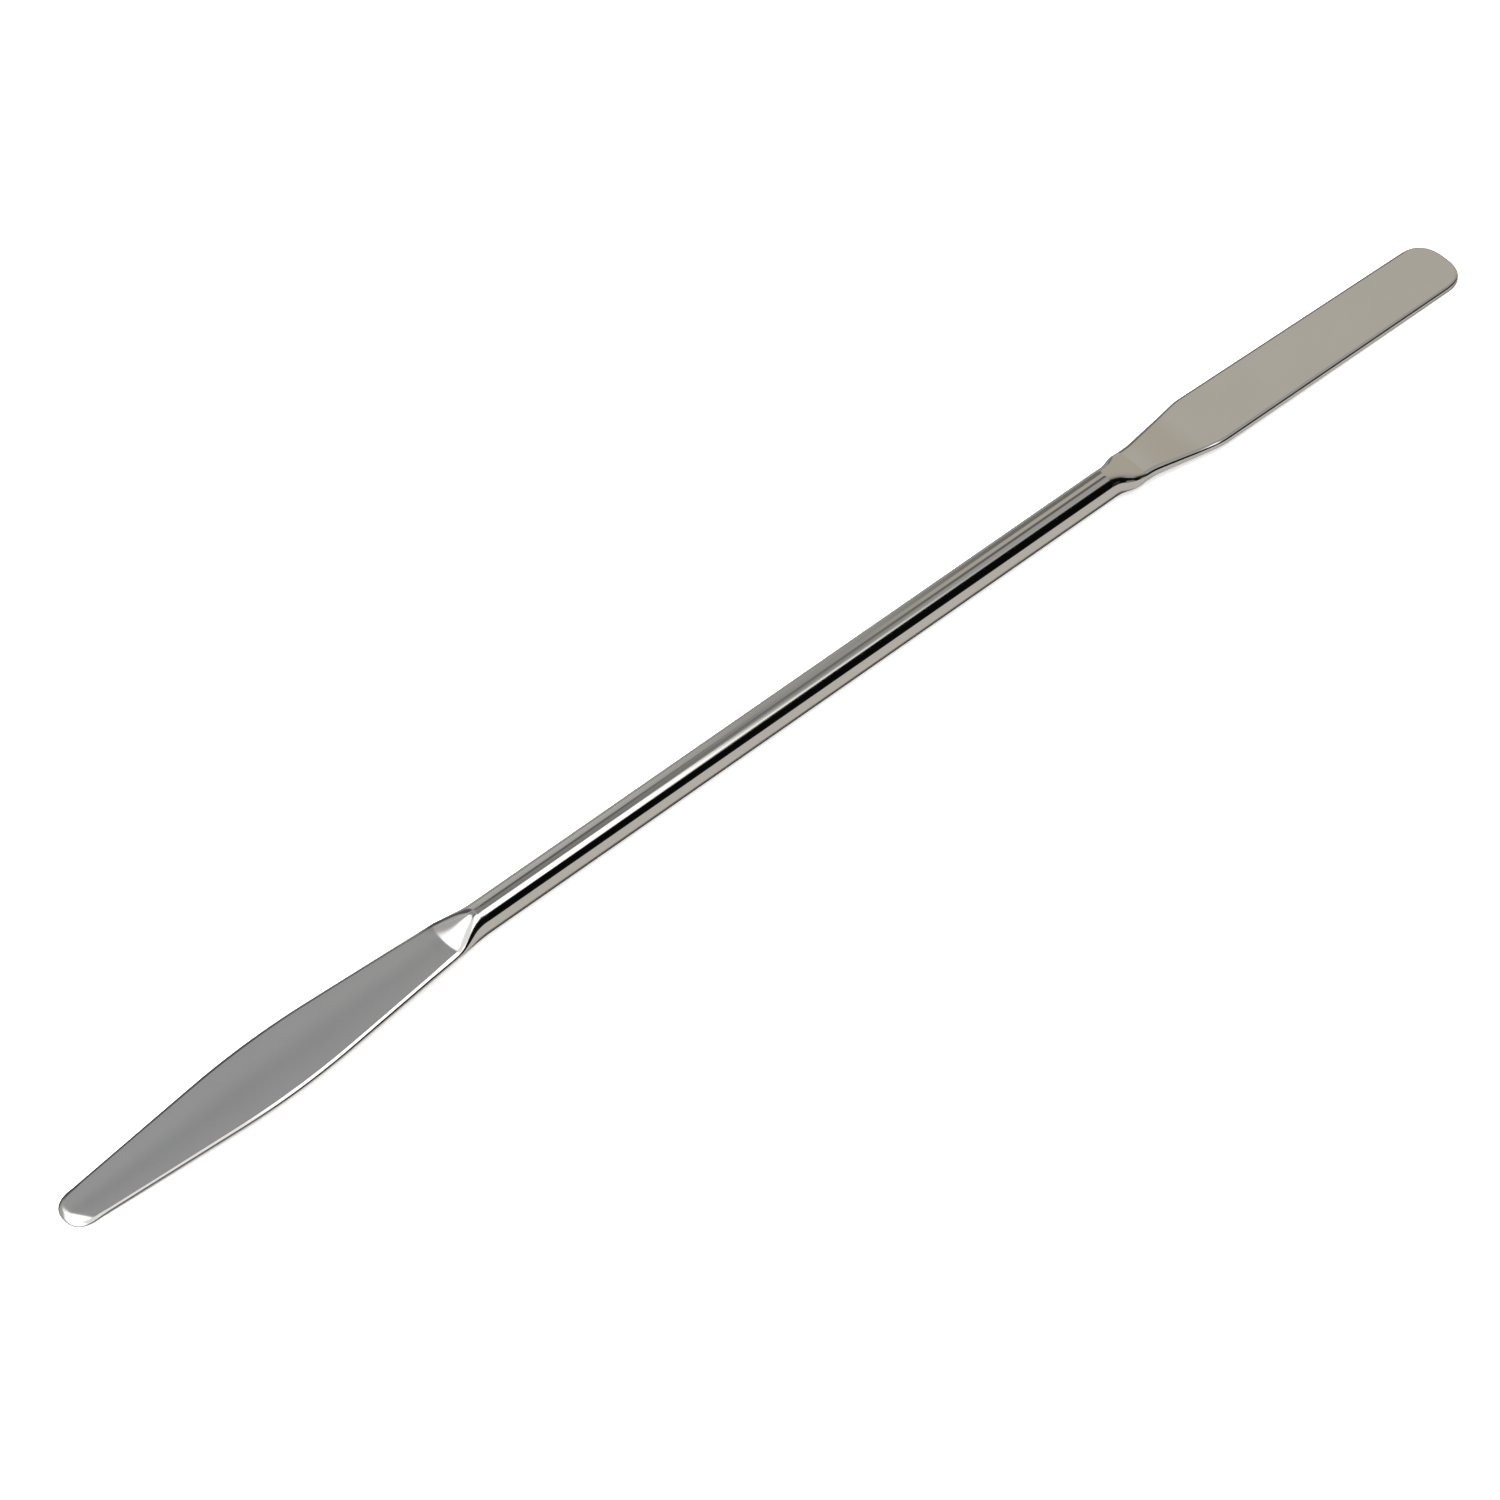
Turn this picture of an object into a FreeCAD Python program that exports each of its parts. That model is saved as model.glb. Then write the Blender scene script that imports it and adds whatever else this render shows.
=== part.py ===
"""Double-ended sculpting spatula: a round steel handle with a leaf blade at one end and a
straight blade at the other.

The tool lies along X with its blades flat. +X is the straight blade's end, -X the leaf blade's,
and +Z is up. It rests on the undersides of its two tips, at z = 0, and the origin is on that
surface, under the middle of the tool. All lengths are in millimetres.

Each blade is a plate with a plan outline and a side profile, both of which run back to the
handle. A flare, turned about the handle's axis, rounds its neck into the handle.
"""

import FreeCAD
import Part
import math
import os

# Driving dimensions
LENGTH = 200.0
HANDLE_DIAMETER = 3.7
HANDLE_LENGTH = 90.0
HANDLE_CLEARANCE = 0.35  # between the handle's underside and the surface that the tips rest on

EDGE_RADIUS = 0.20  # along every long edge of both blades
TIP_POINTS = 9  # points of the spline that closes one side of a rounded tip

# Leaf blade. Heights are measured from the handle's axis, and distances from the handle's end.
LEAF = {
    "neck_length": 4.0,
    "neck_half_width": 2.55,
    "flare_length": 8.0,
    "flare_radius": 5.6,
    "top_at_neck": 0.62,
    "top_at_tip": -1.68,
    "bottom_at_neck": -0.22,
    "tip_length": 3.0,
    "tip_half_width": 2.36,
    "tip_exponent": 2.4,
}
LEAF_BELLY_AT = 28.0  # the blade is widest here
LEAF_BELLY_HALF_WIDTH = 4.50  # where the two straight flanks would meet
LEAF_BELLY_RADIUS = 97.0

# Straight blade, in the same terms
STRAIGHT = {
    "neck_length": 4.3,
    "neck_half_width": 2.40,
    "flare_length": 10.0,
    "flare_radius": 6.0,
    "top_at_neck": 0.36,
    "top_at_tip": -1.45,
    "bottom_at_neck": -0.66,
    "tip_length": 3.5,
    "tip_half_width": 3.82,
    "tip_exponent": 2.7,
}
STRAIGHT_SHOULDER_AT = 17.0  # the flanks are straight from here to the tip
STRAIGHT_SHOULDER_HALF_WIDTH = 4.07
STRAIGHT_NECK_SLOPE = 0.09  # half width gained per millimetre where the neck starts to swell

# Curves
EASE_SHARE = 0.45  # share of an S-curve's run for which it holds each of its end slopes
SWELL_SHARE = 0.5  # the same, for the swell up to the straight blade's shoulder
FLARE_START_SHARE = 0.4  # share of a flare's length for which it stays along the handle
FLARE_END_SHARE = 0.3  # share of a flare's length for which it holds its slope at the mouth
FLARE_SLOPE = 1.5  # radius gained per millimetre at a flare's mouth

# Derived dimensions
HANDLE_RADIUS = HANDLE_DIAMETER / 2
AXIS_HEIGHT = HANDLE_RADIUS + HANDLE_CLEARANCE
BLADE_LENGTH = (LENGTH - HANDLE_LENGTH) / 2
ROOT_MARGIN = 0.1  # a blade's plate stands this far outside the handle at the seam
REACH = 10.0  # how far a cutting solid runs past the blade that it shapes
MIN_RUN = 0.01  # an edge shorter than this along X stands upright or lies in the root's plane
MIN_SPREAD = 0.0001  # an edge narrower than this along Y isn't part of the plan outline


def point(x, y=0.0, z=0.0):
    return FreeCAD.Vector(x, y, z)


def line(start, end):
    return Part.LineSegment(start, end).toShape()


def bezier(*poles):
    curve = Part.BezierCurve()
    curve.setPoles(list(poles))
    return curve.toShape()


def ease(start, start_slope, end, end_slope, share=EASE_SHARE):
    """An S-shaped curve in the XZ or XY plane that leaves and arrives along the given slopes."""
    reach = (end.x - start.x) * share
    return bezier(start, start + start_slope * reach, end - end_slope * reach, end)


def tip_spline(blade):
    """One side of a tip's rounding: a superellipse from the flank to the tip's middle."""
    points = []
    for step in range(TIP_POINTS):
        angle = math.pi / 2 * step / (TIP_POINTS - 1)
        power = 2 / blade["tip_exponent"]
        along = math.sin(angle) ** power * blade["tip_length"]
        across = math.cos(angle) ** power * blade["tip_half_width"] if step < TIP_POINTS - 1 else 0.0
        points.append(point(BLADE_LENGTH - blade["tip_length"] + along, across))
    curve = Part.BSplineCurve()
    curve.interpolate(Points=points)
    return curve.toShape()


def mirrored(edge):
    """The edge's twin on the other side of the tool's middle plane."""
    return edge.mirror(point(0.0), point(0.0, 1.0))


def leaf_flank():
    """The leaf's flank in plan: two straight stretches joined by the belly's arc."""
    neck = point(LEAF["neck_length"], LEAF["neck_half_width"])
    belly = point(LEAF_BELLY_AT, LEAF_BELLY_HALF_WIDTH)
    tip = point(BLADE_LENGTH - LEAF["tip_length"], LEAF["tip_half_width"])
    inward = (neck - belly).normalize()
    outward = (tip - belly).normalize()
    half_turn = (math.pi - inward.getAngle(outward)) / 2
    reach = LEAF_BELLY_RADIUS * math.tan(half_turn)
    start = belly + inward * reach
    end = belly + outward * reach
    crest = belly + (inward + outward).normalize() * LEAF_BELLY_RADIUS * (1 / math.cos(half_turn) - 1)
    root = point(0.0, HANDLE_RADIUS + ROOT_MARGIN)
    along = inward * -1 / abs(inward.x)
    return [
        ease(root, point(1.0), neck, along),
        line(neck, start),
        Part.Arc(start, crest, end).toShape(),
        line(end, tip),
    ]


def straight_flank():
    """The straight blade's flank in plan: a slim neck that swells to a shoulder, then a taper."""
    root = point(0.0, HANDLE_RADIUS + ROOT_MARGIN)
    neck = point(STRAIGHT["neck_length"], STRAIGHT["neck_half_width"])
    shoulder = point(STRAIGHT_SHOULDER_AT, STRAIGHT_SHOULDER_HALF_WIDTH)
    tip = point(BLADE_LENGTH - STRAIGHT["tip_length"], STRAIGHT["tip_half_width"])
    swell = point(1.0, STRAIGHT_NECK_SLOPE)
    taper = (tip - shoulder) * (1 / (tip.x - shoulder.x))
    return [
        ease(root, point(1.0), neck, swell),
        ease(neck, swell, shoulder, taper, SWELL_SHARE),
        line(shoulder, tip),
    ]


def plan_prism(blade, flank):
    """The blade's plan outline, raised far above and below the blade."""
    side = flank + [tip_spline(blade)]
    root = line(mirrored(flank[0]).firstVertex().Point, flank[0].firstVertex().Point)
    outline = Part.Wire(Part.__sortEdges__(side + [mirrored(edge) for edge in side] + [root]))
    face = Part.Face(outline)
    face.translate(point(0.0, 0.0, -REACH))
    return face.extrude(point(0.0, 0.0, 2 * REACH))


def side_profile_prism(blade):
    """The blade's side profile, with its ramps up to the handle, run past both flanks."""
    end = BLADE_LENGTH + REACH
    tip_bottom = -AXIS_HEIGHT
    ramp = blade["neck_length"]
    margin = HANDLE_RADIUS + ROOT_MARGIN
    faces = []
    for at_neck, at_tip, at_root in (
        (blade["top_at_neck"], blade["top_at_tip"], margin),
        (blade["bottom_at_neck"], tip_bottom, -margin),
    ):
        slope = point(1.0, 0.0, (at_tip - at_neck) / (BLADE_LENGTH - ramp))
        root = point(0.0, 0.0, at_root)
        neck = point(ramp, 0.0, at_neck)
        far = neck + slope * (end - ramp)
        faces.append((root, ease(root, point(1.0), neck, slope), line(neck, far), far))
    top, bottom = faces
    edges = [top[1], top[2], bottom[1], bottom[2], line(top[0], bottom[0]), line(top[3], bottom[3])]
    face = Part.Face(Part.Wire(Part.__sortEdges__(edges)))
    face.translate(point(0.0, -REACH, 0.0))
    return face.extrude(point(0.0, 2 * REACH, 0.0))


def flare(blade):
    """A solid of revolution about the handle's axis that opens from the handle's round end."""
    mouth = blade["flare_length"]
    root = point(0.0, 0.0, HANDLE_RADIUS)
    lip = point(mouth, 0.0, blade["flare_radius"])
    far = BLADE_LENGTH + REACH
    leave = point(mouth * FLARE_START_SHARE)
    arrive = point(1.0, 0.0, FLARE_SLOPE) * mouth * FLARE_END_SHARE
    edges = [
        line(point(0.0), root),
        bezier(root, root + leave, lip - arrive, lip),
        line(lip, point(mouth, 0.0, 2 * REACH)),
        line(point(mouth, 0.0, 2 * REACH), point(far, 0.0, 2 * REACH)),
        line(point(far, 0.0, 2 * REACH), point(far)),
        line(point(far), point(0.0)),
    ]
    face = Part.Face(Part.Wire(edges))
    return face.revolve(point(0.0), point(1.0), 360)


def is_long_edge(edge):
    """True for the edges between a broad face and a flank, which run all round the blade."""
    box = edge.BoundBox
    return box.XLength > MIN_RUN and box.YLength > MIN_SPREAD


def blade_solid(blade, flank):
    """A blade with its root on the YZ plane and its tip towards +X, on the handle's axis."""
    plate = plan_prism(blade, flank).common(side_profile_prism(blade))
    plate = plate.makeFillet(EDGE_RADIUS, [edge for edge in plate.Edges if is_long_edge(edge)])
    return plate.common(flare(blade)).Solids[0]


def handle_rod():
    start = point(-HANDLE_LENGTH / 2, 0.0, AXIS_HEIGHT)
    return Part.makeCylinder(HANDLE_RADIUS, HANDLE_LENGTH, start, point(1.0))


def straight_blade():
    solid = blade_solid(STRAIGHT, straight_flank())
    solid.translate(point(HANDLE_LENGTH / 2, 0.0, AXIS_HEIGHT))
    return solid


def leaf_blade():
    solid = blade_solid(LEAF, leaf_flank())
    solid.rotate(point(0.0), point(0.0, 0.0, 1.0), 180)
    solid.translate(point(-HANDLE_LENGTH / 2, 0.0, AXIS_HEIGHT))
    return solid


def main():
    os.makedirs("parts", exist_ok=True)
    for make in (leaf_blade, handle_rod, straight_blade):
        shape = make()
        print(make.__name__, shape.isValid(), round(shape.Volume, 2), shape.BoundBox)
        shape.exportStep(os.path.join("parts", make.__name__ + ".step"))


main()
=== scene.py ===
"""Looks of the double-ended sculpting spatula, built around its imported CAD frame.

The tool lies along X with its blades flat: the leaf blade at -X, the straight blade at +X, +Z up.
Each of its three lengths is one fine closed mesh: a plan outline from the root to the tip, with an
edge profile swept along it. Shape values are in millimetres, and the meshes in metres.
"""

import math
from functools import partial

import bpy
import numpy as np
from mathutils import Euler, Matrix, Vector


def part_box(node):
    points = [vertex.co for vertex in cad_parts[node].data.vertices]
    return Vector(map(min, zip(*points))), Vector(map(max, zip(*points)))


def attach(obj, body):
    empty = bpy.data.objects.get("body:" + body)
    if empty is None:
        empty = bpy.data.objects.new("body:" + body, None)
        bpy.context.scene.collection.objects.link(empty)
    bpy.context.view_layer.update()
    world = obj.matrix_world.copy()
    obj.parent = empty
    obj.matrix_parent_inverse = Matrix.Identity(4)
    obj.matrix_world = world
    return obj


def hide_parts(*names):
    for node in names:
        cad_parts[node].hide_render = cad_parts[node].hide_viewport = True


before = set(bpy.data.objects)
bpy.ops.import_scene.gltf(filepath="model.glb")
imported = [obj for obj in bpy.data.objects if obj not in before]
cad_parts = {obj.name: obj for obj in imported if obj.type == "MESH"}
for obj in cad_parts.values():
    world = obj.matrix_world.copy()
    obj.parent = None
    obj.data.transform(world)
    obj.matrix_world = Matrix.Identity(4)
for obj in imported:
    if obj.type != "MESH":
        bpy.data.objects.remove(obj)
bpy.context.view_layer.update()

MM = 0.001

# The handle's size and the blades' lengths, from the frame
HANDLE_LOW, HANDLE_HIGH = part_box("handle_rod")
RADIUS = (HANDLE_HIGH.z - HANDLE_LOW.z) / 2 / MM
AXIS_HEIGHT = (HANDLE_HIGH.z + HANDLE_LOW.z) / 2 / MM
HALF_HANDLE = HANDLE_HIGH.x / MM
LEAF_LENGTH = -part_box("leaf_blade")[0].x / MM - HALF_HANDLE
STRAIGHT_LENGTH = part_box("straight_blade")[1].x / MM - HALF_HANDLE

# Camera. Its place, aim and lens were fitted to the outline of the tool in the picture.
CAMERA_PLACE = (-271.955, -294.075, 482.188)
CAMERA_PITCH = 50.695  # degrees below the horizon
CAMERA_YAW = 41.978  # degrees from +Y towards +X
CAMERA_LENS = 139.763
CAMERA_SENSOR = 36.0
CAMERA_CLIP = (0.01, 10.0)  # metres

# Blades. Distances run from the handle's end to the tip, and heights from the handle's axis.
#   corners      the plan outline's corners: (distance, half width, rounding radius)
#   tip          the superellipse that closes the outline: (length, half width, exponent)
#   ramp         where the ramp from the handle down to the broad faces starts and ends
#   blend        the share of the ramp that is an S-curve; the rest is a straight line
#   top, bottom  each face's height at the ramp's end and at the tip
#   lift         how far the top and the bottom stand above their straight lines at the ramp's end
#   crown        the faces' swell, as a share of their width
#   ramp_crown   the same where the ramp starts
#   facet        the slope ground into the top of the tip: its start on the middle line, how far
#                the start moves tipwards per millimetre at -y and rootwards per millimetre at +y
#                (before the blade is turned), and its slope, where 0 is no facet
# The edge's section is an upright wall and a chain of arcs from its middle up to the broad face.
# The wall and the radii only matter against each other: the section is scaled to the thickness.
#   wall         the wall's height above the middle
#   under        the size of the rounding below the middle, as a share of the one above it
#   lag          how far behind the ramp the edge's section changes
#   arcs         radii of the first two arcs
#   bevel        radius of the third arc along the blade: (distance, radius)
LEAF = {
    "length": LEAF_LENGTH,
    "corners": [(1.2, RADIUS, 10.0), (4.4, 2.60, 3.5), (28.0, 4.51, 90.0)],
    "tip": (3.0, 2.38, 2.4),
    "ramp": (0.8, 5.4),
    "blend": 1.0,
    "top": (0.59, -1.72),
    "bottom": (-0.21, -2.20),
    "lift": (0.0, 0.0),
    "crown": 0.012,
    "ramp_crown": 0.045,
    "facet": (54.3, 0.2, 0.75, 0.13),
    "wall": 0.0,
    "under": 1.0,
    "lag": 1.0,
    "arcs": (0.55, 1.0),
    "bevel": [(3.0, 4.5), (5.0, 4.0), (9.0, 2.2), (16.0, 2.1), (31.0, 3.2), (45.0, 2.6), (51.0, 3.2),
              (53.5, 8.0), (55.0, 10.0)],
}
STRAIGHT = {
    "length": STRAIGHT_LENGTH,
    "corners": [(1.6, RADIUS, 3.0), (3.3, 2.40, 3.0), (6.0, 2.43, 9.0), (15.07, 4.06, 9.0)],
    "tip": (3.6, 3.82, 2.5),
    "ramp": (0.2, 4.6),
    "blend": 0.2,
    "top": (0.06, -1.45),
    "bottom": (-0.76, -2.20),
    "lift": (0.45, 0.15),
    "crown": 0.0,
    "ramp_crown": 0.0,
    "facet": (55.0, 0.0, 0.0, 0.0),
    "wall": 0.24,
    "under": 0.3,
    "lag": 0.0,
    "arcs": (0.5, 0.9),
    "bevel": [(0.0, 2.2), (55.0, 2.2)],
}
FACET_BLEND = 0.35  # width of the rounding between a broad face and the tip's facet
LIFT_LENGTH = 9.0  # the faces settle from their lift to their straight lines over this length
ARC_ENDS = (0, 32, 60, 75.5, 90)  # elevations, in degrees, of the edge's normal where arcs meet
ARC_STEPS = (5, 7, 6, 4)
LAST_ARC = 0.25  # radius of the arc next to the broad face, as a share of the bevel's

# Fineness of the meshes
CORNER_POINTS = 25  # points on the arc that rounds a corner of the outline
BLADE_STATION = 0.15  # spacing of the rings along a blade
HANDLE_STATION = 0.5
TIP_STEPS = 44
FACE_STEPS = 12  # spans across a broad face
WELD = 1e-5  # points closer than this are one vertex
NO_LENGTH = 1e-12  # keeps a division by a vector's length from failing
WEAK_NORMAL = 1e-9  # a normal shorter than this, before scaling, has no direction of its own

# Steel
HANDLE_COLOUR = (0.60, 0.585, 0.56)
HANDLE_ROUGHNESS = 0.06
BLADE_COLOUR = (0.60, 0.59, 0.575)
BLADE_ROUGHNESS = 0.10
POLISH_LINES = (60, 9000, 9000)  # cells per metre along and across the tool
CLOUDS = 160.0  # cells per metre
NOISE_RANGE = (0.3, 0.7)  # where most of the noise lies
ROUGHNESS_SPREAD = (0.85, 1.2)  # shares of the roughness
TONE_SPREAD = (0.97, 1.03)  # shares of the colour

# Floor
FLOOR_REACH = 3.0  # metres from the origin to each side
FLOOR_SEEN = (0.86, 0.855, 0.845, 1.0)
FLOOR_GLOW = 0.8
FLOOR_ROUGHNESS = 0.9
# The floor that the steel reflects, as stops across the tool from 0 on its near side to 180 on its
# far side. A dark strip is painted on it under the tool and near it as the tool's contact shadow,
# and the painted shadow is wider at the blades than at the handle.
REFLECTED_FLOOR_AND_PAINTED_SHADOW = (
    (26, (0.40, 0.385, 0.36)),
    (40, (0.10, 0.097, 0.09)),
    (166, (0.10, 0.097, 0.09)),
    (178, (0.23, 0.227, 0.22)),
)
PAINTED_SHADOW_WIDTHS = (0.00245, 0.0033)  # metres, at the handle and at the blades
PAINTED_SHADOW_ENDS = (-2.0, 2.5)  # where 0 and 180 are, in strip widths from the middle line
PAINTED_SHADOW_WIDENS = (0.046, 0.060)  # metres from the middle of the tool

# Fill light, in metres and watts
FILL_DIAMETER = 1.6
FILL_HEIGHT = 1.2
FILL_POWER = 22.0

# Sockets of Blender's Mix node in its colour mode
MIX_SHARE, MIX_FIRST, MIX_SECOND = 0, 6, 7
MIX_RESULT = 2


def grey(value):
    return (value, value, value)


# What the steel reflects
CARD = (0.75, 0.72, 0.68)
GAP = grey(0.004)
LAMP = grey(2.4)
SOFT = grey(1.2)
WALL = grey(0.50)
SHADE = grey(0.28)
SHADED_CARD = ((0, CARD), (8, SHADE), (27, SHADE), (31, GAP))
LOW_CARD = ((0, CARD), (6, CARD), (8, GAP), (55, GAP))
ROD_CARD = ((0, CARD), (6, CARD), (11, GAP), (60, GAP))
BEYOND_LAMP = ((118, LAMP), (126, grey(0.60)), (148, grey(0.52)), (158, grey(0.12)))
LEAF_BANDS = (
    (98, (0.20, 0.205, 0.215)),
    (115, (0.46, 0.47, 0.48)),
    (117.5, (0.43, 0.44, 0.45)),
    (120, (0.385, 0.395, 0.405)),
    (123, (0.48, 0.49, 0.50)),
    (127, (0.47, 0.48, 0.49)),
    (135, (0.12, 0.12, 0.13)),
)
ROD_BANDS = (
    (65, grey(0.50)),
    (94, grey(0.50)),
    (100, grey(0.17)),
    (110, grey(0.17)),
)
FAR_SHADE = (146, (0.24, 0.235, 0.22))

# The studio is a row of columns from -X to +X. Each has the first and the last share of X in the
# direction for which it stands alone, and its (degrees, colour) stops from the near horizon (0),
# over the top (90), to the far horizon (180). Neighbours blend in between. From the camera each
# is reflected in a length of the tool, which its comment names. The tones were set until
# that length looked as it does in the picture. From other places the tool reflects other columns.
COLUMNS = (
    # Hardly reflected from the camera
    (-1.0, -0.6, (
        (0, CARD), (8, SHADE), (55, SHADE), (62, WALL), (140, WALL), (158, SHADE),
    )),
    # The leaf blade's ramp and facet
    (-0.5, -0.28, (
        *SHADED_CARD, (55, GAP), (60, LAMP), *BEYOND_LAMP,
    )),
    (-0.20, 0.06, (
        *SHADED_CARD, (55, GAP), (60, SOFT), (99, SOFT), (104, LAMP), *BEYOND_LAMP,
    )),
    # The leaf blade
    (0.14, 0.20, (
        *SHADED_CARD, (55, GAP), (60, SOFT), (91, SOFT), *LEAF_BANDS,
    )),
    (0.24, 0.29, (
        *LOW_CARD, (60, LAMP), (91, LAMP), *LEAF_BANDS,
    )),
    (0.31, 0.355, (
        *LOW_CARD, (60, LAMP), (89, LAMP), (98, grey(0.45)), (128, grey(0.50)), (142, (0.18, 0.18, 0.19)),
    )),
    # The handle, from the leaf blade to the straight blade
    (0.365, 0.40, (
        (0, CARD), (6, CARD), (10, GAP), (54, GAP), (60, LAMP), (84, LAMP), (92, (0.27, 0.28, 0.28)),
        (115, (0.32, 0.325, 0.32)), (122, grey(0.15)), (131, grey(0.17)), (138, (0.60, 0.60, 0.58)),
        (180, (0.66, 0.66, 0.63)),
    )),
    (0.43, 0.445, (
        *ROD_CARD, (64, (1.20, 1.20, 1.18)), (71, (1.20, 1.20, 1.18)), (79, (0.42, 0.42, 0.41)),
        (98, (0.33, 0.33, 0.325)), (104, (0.22, 0.22, 0.215)), (111, (0.22, 0.22, 0.215)),
        (118, (0.41, 0.41, 0.395)), (180, (0.48, 0.48, 0.46)),
    )),
    (0.47, 0.50, (
        *ROD_CARD, *ROD_BANDS, (117, (0.62, 0.58, 0.50)), (136, (0.63, 0.60, 0.52)), FAR_SHADE,
    )),
    # The straight blade
    (0.53, 0.58, (
        *ROD_CARD, *ROD_BANDS, (117, (0.655, 0.62, 0.555)), (136, (0.665, 0.64, 0.575)), FAR_SHADE,
    )),
    # The straight blade's ramp
    (0.64, 1.0, (
        *SHADED_CARD, (60, GAP), (80, (0.50, 0.47, 0.40)), (115, (0.60, 0.565, 0.475)),
    )),
)


def smooth(share):
    """An S-curve from 0 to 1."""
    share = np.clip(share, 0, 1)
    return share * share * (3 - 2 * share)


def unit(vectors):
    return vectors / np.maximum(np.linalg.norm(vectors, axis=-1, keepdims=True), NO_LENGTH)


def rounded_outline(corners, end):
    """Points along a row of straight lines joined by arcs: (distance, half width)."""
    path = [np.array((0.0, RADIUS))] + [np.array(c[:2]) for c in corners] + [np.array(end)]
    points = [path[0]]
    for before, corner, after, (_, _, radius) in zip(path, path[1:], path[2:], corners):
        into, out = unit(before - corner), unit(after - corner)
        half_turn = (math.pi - math.acos(np.clip(into @ out, -1, 1))) / 2
        reach = radius * math.tan(half_turn)
        centre = corner + unit(into + out) * radius / math.cos(half_turn)
        start, finish = corner + into * reach - centre, corner + out * reach - centre
        for share in np.linspace(0, 1, CORNER_POINTS):
            arm = start * math.sin((1 - share) * 2 * half_turn)
            arm = arm + finish * math.sin(share * 2 * half_turn)
            points.append(centre + arm / math.sin(2 * half_turn))
    points.append(path[-1])
    return np.array(points)


def outline(blade):
    """The blade's half outline in plan, from the root to the middle of the tip, with normals."""
    length, half_width, power = blade["tip"]
    flank_end = blade["length"] - length
    flank = rounded_outline(blade["corners"], (flank_end, half_width))
    x = np.linspace(0.0, flank_end, round(flank_end / BLADE_STATION), endpoint=False)
    side = np.column_stack([x, np.interp(x, flank[:, 0], flank[:, 1])])
    angle = np.linspace(0, math.pi / 2, TIP_STEPS + 1)
    along = np.sin(angle) ** (2 / power) * length
    across = np.cos(angle) ** (2 / power) * half_width
    across[-1] = 0.0
    points = np.vstack([side, np.column_stack([flank_end + along, across])])
    step = np.gradient(points, axis=0)
    step[0], step[-1] = (1.0, 0.0), (0.0, -1.0)
    return points, unit(np.column_stack([-step[:, 1], step[:, 0]]))


def blade_faces(blade, x):
    """Heights of the blade's top and bottom faces at a distance x from the handle's end."""
    start, end = blade["ramp"]
    straight = (x - start) / (end - start)
    share = smooth(straight) * blade["blend"] + np.clip(straight, 0, 1) * (1 - blade["blend"])
    settled = smooth((x - end) / LIFT_LENGTH)
    heights = []
    for side, lift, root in zip(("top", "bottom"), blade["lift"], (RADIUS, -RADIUS)):
        neck, tip = blade[side]
        plane = neck + (tip - neck) * (x - end) / (blade["length"] - end) + lift * (1 - settled)
        heights.append(root + (plane - root) * share)
    return heights


def handle_faces(x):
    """Heights of the handle's top and bottom lines."""
    return np.full_like(x, RADIUS), np.full_like(x, -RADIUS)


def edge_section(radii, wall=0.0, under=1.0):
    """The edge's points, from the bottom face round to the top face: (inward, height).

    Both are shares of the half thickness, so that the heights run from -1 to 1. The rounding
    below the middle is as large as the one above it, times a share.
    """
    inward, height = [0.0], [wall]
    for low, high, steps, radius in zip(ARC_ENDS, ARC_ENDS[1:], ARC_STEPS, radii):
        bends = np.radians(np.linspace(low, high, steps + 1))
        inward += list(inward[-1] + radius * (math.cos(bends[0]) - np.cos(bends[1:])))
        height += list(height[-1] + radius * (np.sin(bends[1:]) - math.sin(bends[0])))
    section = np.column_stack([inward, height]) / height[-1]
    below = (section[::-1] - (0, 1)) * (under, -under) - (0, 1)
    return np.vstack([below, section])


def ring(x, half, normal, faces, section, crown=0.0):
    """One ring of points: near edge upwards, top face, far edge downwards, bottom face."""
    top, bottom = faces(x)
    inward = section[:, 0] * (top - bottom) / 2
    px = x - normal[0] * inward
    py = np.maximum(half - normal[1] * inward, 0.0)
    top, bottom = faces(px)
    edge = np.column_stack([px, py, (top + bottom) / 2 + (top - bottom) / 2 * section[:, 1]])
    near, far = edge * (1, -1, 1), edge[::-1]
    share = np.linspace(0, 1, FACE_STEPS + 1)[1:-1, None]
    swell = 4 * share * (1 - share) * crown * 2 * py.min() * (0, 0, 1)
    top_face = near[-1] + (far[0] - near[-1]) * share + swell
    bottom_face = far[-1] + (near[0] - far[-1]) * share - swell
    return np.vstack([near, top_face, far, bottom_face])


def sloped_tip(rings, blade):
    """The rings with the tip's facet ground into their upper side."""
    start, tipwards, rootwards, slope = blade["facet"]
    x, y, z = np.moveaxis(rings, -1, 0)
    beyond = x - start + np.maximum(tipwards * y, rootwards * y)
    drop = slope * (np.sqrt(beyond**2 + FACET_BLEND**2) + beyond) / 2
    top, bottom = blade_faces(blade, x)
    rise = np.clip((z - bottom) / (top - bottom), 0, None)
    return rings - (drop * rise)[..., None] * (0, 0, 1)


def blade_rings(blade):
    """A blade's rings, which turn from the handle's circle into the blade's section."""
    rings = []
    start, end = blade["ramp"]
    for (x, half), normal in zip(*outline(blade)):
        share = float(smooth((x - start - blade["lag"]) / (end - start)))
        bevel = np.interp(x, *np.transpose(blade["bevel"]))
        radii = 1 + (np.array((*blade["arcs"], bevel, bevel * LAST_ARC)) - 1) * share
        section = edge_section(radii, blade["wall"] * share, 1 + (blade["under"] - 1) * share)
        crown = blade["crown"] + (blade["ramp_crown"] - blade["crown"]) * (1 - share**2)
        rings.append(ring(x, half, normal, partial(blade_faces, blade), section, crown))
    return sloped_tip(np.array(rings), blade)


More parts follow.
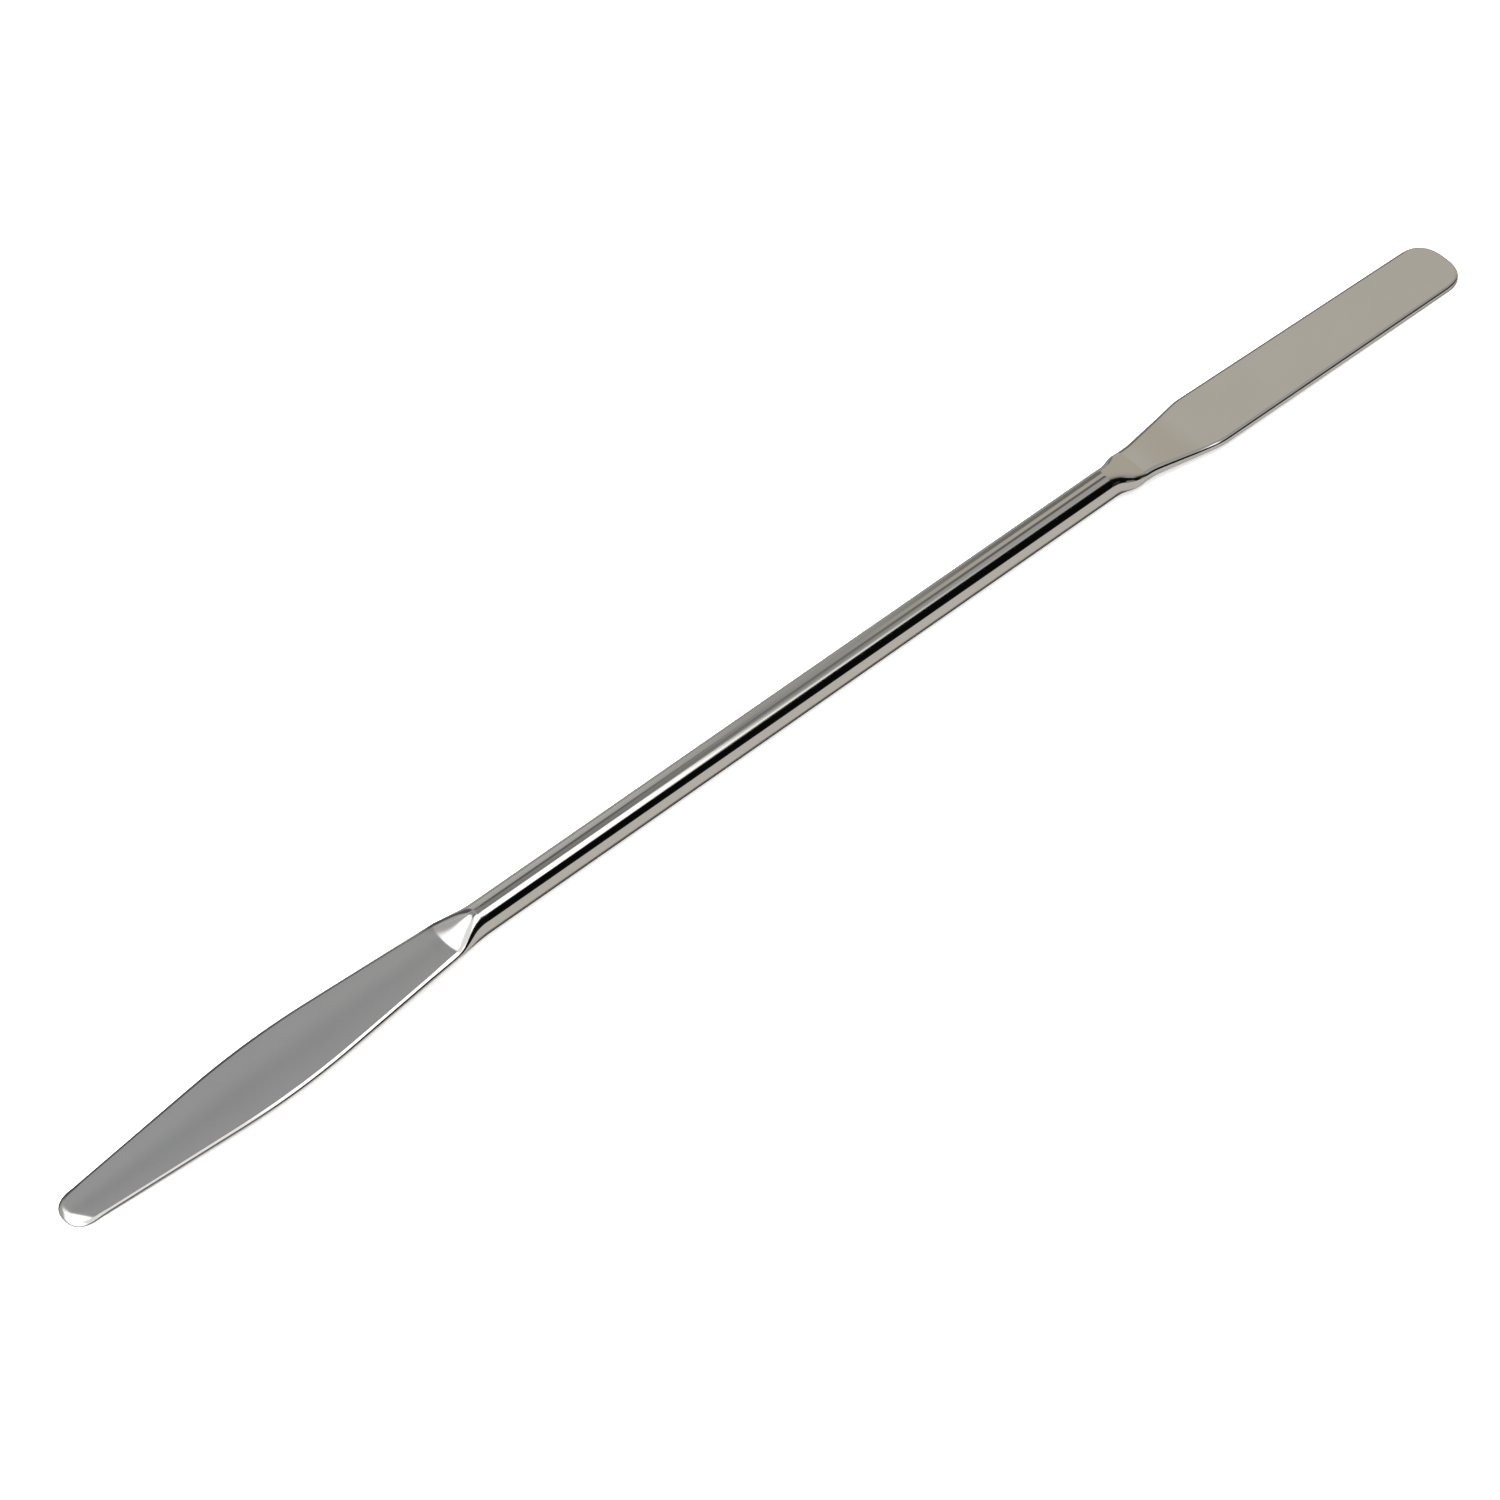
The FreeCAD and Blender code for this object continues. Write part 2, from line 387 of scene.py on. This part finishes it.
def handle_rings():
    stations = np.linspace(-HALF_HANDLE, HALF_HANDLE, round(2 * HALF_HANDLE / HANDLE_STATION) + 1)
    section = edge_section(radii=(1, 1, 1, 1))
    return np.array([ring(x, RADIUS, (0.0, 1.0), handle_faces, section) for x in stations])


def grid_normals(rings):
    """Outward normals of a grid of rings, from its own differences."""
    along = np.gradient(rings, axis=0)
    around = np.roll(rings, -1, axis=1) - np.roll(rings, 1, axis=1)
    normals = np.cross(along, around)
    weak = np.linalg.norm(normals, axis=-1) < WEAK_NORMAL
    normals = unit(normals)
    normals[weak] = unit(rings[weak] * (0, 1, 1) + (0, 0, WEAK_NORMAL))
    return normals


def without_repeats(corners):
    """A face's corners as plain numbers, without the neighbours that welding made one."""
    return [int(c) for k, c in enumerate(corners) if c != corners[k - 1]]


def grid_faces(grid):
    """The faces between the rings and a flat cap at each open end."""
    count, around = grid.shape
    loops = []
    for i in range(count - 1):
        for k in range(around):
            n = (k + 1) % around
            loops.append([grid[i, k], grid[i + 1, k], grid[i + 1, n], grid[i, n]])
    loops += [grid[0], grid[-1][::-1]]
    faces = [without_repeats(corners) for corners in loops]
    return [face for face in faces if len(face) > 2 and len(set(face)) == len(face)]


def tube(name, rings, place, turned):
    """A closed smooth mesh through the rings, turned half round about Z if it is asked for."""
    normals = grid_normals(rings)
    if turned:
        rings, normals = rings * (-1, -1, 1), normals * (-1, -1, 1)
    points = rings.reshape(-1, 3) + np.array(place)
    cells = np.round(points / WELD)
    _, first, welded = np.unique(cells, axis=0, return_index=True, return_inverse=True)
    welded = welded.ravel()
    sums = np.zeros((len(first), 3))
    np.add.at(sums, welded, normals.reshape(-1, 3))
    mesh = bpy.data.meshes.new(name)
    mesh.from_pydata((points[first] * MM).tolist(), [], grid_faces(welded.reshape(rings.shape[:2])))
    mesh.shade_smooth()
    mesh.normals_split_custom_set_from_vertices(unit(sums).tolist())
    piece = bpy.data.objects.new(name, mesh)
    bpy.context.scene.collection.objects.link(piece)
    return piece


def add(tree, kind, **values):
    """A shader node with its properties and its sockets' values set."""
    node = tree.nodes.new(kind)
    for key, value in values.items():
        if key in node.inputs:
            node.inputs[key].default_value = value
        else:
            setattr(node, key, value)
    return node


def math_node(tree, operation, first, second):
    """A maths node on a socket and either a socket or a number; its output."""
    node = add(tree, "ShaderNodeMath", operation=operation)
    tree.links.new(first, node.inputs[0])
    if isinstance(second, float):
        node.inputs[1].default_value = second
    else:
        tree.links.new(second, node.inputs[1])
    return node.outputs[0]


def map_range(tree, value, before, after):
    """A socket's value moved from one range to another, and held at its ends; its output."""
    node = add(tree, "ShaderNodeMapRange")
    tree.links.new(value, node.inputs["Value"])
    for kind, (low, high) in (("From", before), ("To", after)):
        node.inputs[kind + " Min"].default_value = low
        node.inputs[kind + " Max"].default_value = high
    return node.outputs["Result"]


def mix(tree, share, first, second):
    """A colour mix, where each colour is a socket or four numbers; its output."""
    node = add(tree, "ShaderNodeMix", data_type="RGBA")
    tree.links.new(share, node.inputs[MIX_SHARE])
    for index, colour in ((MIX_FIRST, first), (MIX_SECOND, second)):
        if isinstance(colour, tuple):
            node.inputs[index].default_value = colour
        else:
            tree.links.new(colour, node.inputs[index])
    return node.outputs[MIX_RESULT]


def ramp(tree, value, stops):
    """A colour ramp on a socket that runs from 0 to 1; its stops are (0 to 180, colour); its output."""
    node = add(tree, "ShaderNodeValToRGB")
    elements = node.color_ramp.elements
    while len(elements) > 1:
        elements.remove(elements[-1])
    for index, (degrees, colour) in enumerate(stops):
        element = elements[0] if index == 0 else elements.new(degrees / 180)
        element.position = degrees / 180
        element.color = [*colour, 1]
    tree.links.new(value, node.inputs[0])
    return node.outputs[0]


def steel(name, colour, roughness):
    """Polished steel with fine lengthwise polishing lines and faint cloudiness."""
    material = bpy.data.materials.new(name)
    material.use_nodes = True
    tree = material.node_tree
    shader = tree.nodes["Principled BSDF"]
    shader.inputs["Metallic"].default_value = 1.0
    link = tree.links.new
    place = add(tree, "ShaderNodeTexCoord")
    stretch = add(tree, "ShaderNodeMapping", Scale=POLISH_LINES)
    link(place.outputs["Object"], stretch.inputs["Vector"])
    lines = add(tree, "ShaderNodeTexNoise", Scale=1.0, Detail=4.0, Roughness=0.6)
    link(stretch.outputs["Vector"], lines.inputs["Vector"])
    clouds = add(tree, "ShaderNodeTexNoise", Scale=CLOUDS, Detail=3.0)
    link(place.outputs["Object"], clouds.inputs["Vector"])
    spread = [roughness * share for share in ROUGHNESS_SPREAD]
    link(map_range(tree, lines.outputs["Fac"], NOISE_RANGE, spread), shader.inputs["Roughness"])
    darker, lighter = [(*(c * share for c in colour), 1.0) for share in TONE_SPREAD]
    link(mix(tree, clouds.outputs["Fac"], darker, lighter), shader.inputs["Base Color"])
    bump = add(tree, "ShaderNodeBump", Strength=0.05, Distance=0.00002)
    link(lines.outputs["Fac"], bump.inputs["Height"])
    link(bump.outputs["Normal"], shader.inputs["Normal"])
    return material


def studio_world():
    """The studio's columns, by direction, for what the steel reflects and what lights the floor.

    It is plain white where the camera sees it.
    """
    world = bpy.data.worlds.new("studio")
    bpy.context.scene.world = world
    world.use_nodes = True
    tree = world.node_tree
    place = add(tree, "ShaderNodeTexCoord")
    axes = add(tree, "ShaderNodeSeparateXYZ")
    tree.links.new(place.outputs["Generated"], axes.inputs[0])
    towards_near = math_node(tree, "MULTIPLY", axes.outputs["Y"], -1.0)
    angle = math_node(tree, "ARCTAN2", axes.outputs["Z"], towards_near)
    half_turns = math_node(tree, "DIVIDE", angle, math.pi)
    colour = ramp(tree, half_turns, COLUMNS[0][2])
    for (_, last, _), (first, _, stops) in zip(COLUMNS, COLUMNS[1:]):
        share = map_range(tree, axes.outputs["X"], (last, first), (0.0, 1.0))
        colour = mix(tree, share, colour, ramp(tree, half_turns, stops))
    path = add(tree, "ShaderNodeLightPath")
    colour = mix(tree, path.outputs["Is Camera Ray"], colour, (1.0, 1.0, 1.0, 1.0))
    tree.links.new(colour, tree.nodes["Background"].inputs["Color"])


def floor():
    """A pale floor to the camera, and a darker one to the steel with a painted shadow under the tool, as
    the values above say.
    """
    mesh = bpy.data.meshes.new("floor")
    low, high = -FLOOR_REACH, FLOOR_REACH
    corners = [(low, low, 0), (high, low, 0), (high, high, 0), (low, high, 0)]
    mesh.from_pydata(corners, [], [(0, 1, 2, 3)])
    plane = bpy.data.objects.new("floor", mesh)
    bpy.context.scene.collection.objects.link(plane)
    material = bpy.data.materials.new("floor")
    material.use_nodes = True
    tree = material.node_tree
    shader = tree.nodes["Principled BSDF"]
    shader.inputs["Roughness"].default_value = FLOOR_ROUGHNESS
    shader.inputs["Specular IOR Level"].default_value = 0.0
    # Painted shadow: the floor that the steel reflects is darkened in a strip under the tool.
    place = add(tree, "ShaderNodeTexCoord")
    axes = add(tree, "ShaderNodeSeparateXYZ")
    tree.links.new(place.outputs["Object"], axes.inputs[0])
    distance = add(tree, "ShaderNodeMath", operation="ABSOLUTE")
    tree.links.new(axes.outputs["X"], distance.inputs[0])
    width = map_range(tree, distance.outputs[0], PAINTED_SHADOW_WIDENS, PAINTED_SHADOW_WIDTHS)
    across = math_node(tree, "DIVIDE", axes.outputs["Y"], width)
    reflected = ramp(tree, map_range(tree, across, PAINTED_SHADOW_ENDS, (0.0, 1.0)), REFLECTED_FLOOR_AND_PAINTED_SHADOW)
    path = add(tree, "ShaderNodeLightPath")
    colour = mix(tree, path.outputs["Is Camera Ray"], reflected, FLOOR_SEEN)
    tree.links.new(colour, shader.inputs["Base Color"])
    tree.links.new(colour, shader.inputs["Emission Color"])
    glow = math_node(tree, "MULTIPLY", path.outputs["Is Camera Ray"], FLOOR_GLOW)
    tree.links.new(glow, shader.inputs["Emission Strength"])
    mesh.materials.append(material)


def fill_light():
    """A wide soft light overhead, which the steel doesn't reflect."""
    data = bpy.data.lights.new("fill", "AREA")
    data.shape = "DISK"
    data.size = FILL_DIAMETER
    data.energy = FILL_POWER
    lamp = bpy.data.objects.new("fill", data)
    lamp.location = (0.0, 0.0, FILL_HEIGHT)
    lamp.visible_glossy = False
    bpy.context.scene.collection.objects.link(lamp)


def camera():
    data = bpy.data.cameras.new("camera")
    data.lens = CAMERA_LENS
    data.sensor_width = CAMERA_SENSOR
    data.clip_start, data.clip_end = CAMERA_CLIP
    eye = bpy.data.objects.new("camera", data)
    eye.location = Vector(CAMERA_PLACE) * MM
    tilt, swing = math.radians(90 - CAMERA_PITCH), -math.radians(CAMERA_YAW)
    eye.rotation_euler = Euler((tilt, 0, swing), "XYZ")
    bpy.context.scene.collection.objects.link(eye)
    bpy.context.scene.camera = eye


def add_piece(name, node, rings, x, material, turned=False):
    """One length of the tool, which stands for its CAD node."""
    piece = tube(name, rings, (x, 0.0, AXIS_HEIGHT), turned)
    piece.data.materials.append(material)
    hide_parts(node)
    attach(piece, "root")


def main():
    camera()
    studio_world()
    floor()
    fill_light()
    polished = steel("polished steel", HANDLE_COLOUR, HANDLE_ROUGHNESS)
    ground = steel("ground steel", BLADE_COLOUR, BLADE_ROUGHNESS)
    straight, leaf = blade_rings(STRAIGHT), blade_rings(LEAF)
    add_piece("handle", "handle_rod", handle_rings(), 0.0, polished)
    add_piece("straight_end", "straight_blade", straight, HALF_HANDLE, ground)
    add_piece("leaf_end", "leaf_blade", leaf, -HALF_HANDLE, ground, turned=True)
    bpy.context.scene.view_settings.view_transform = "Standard"


main()
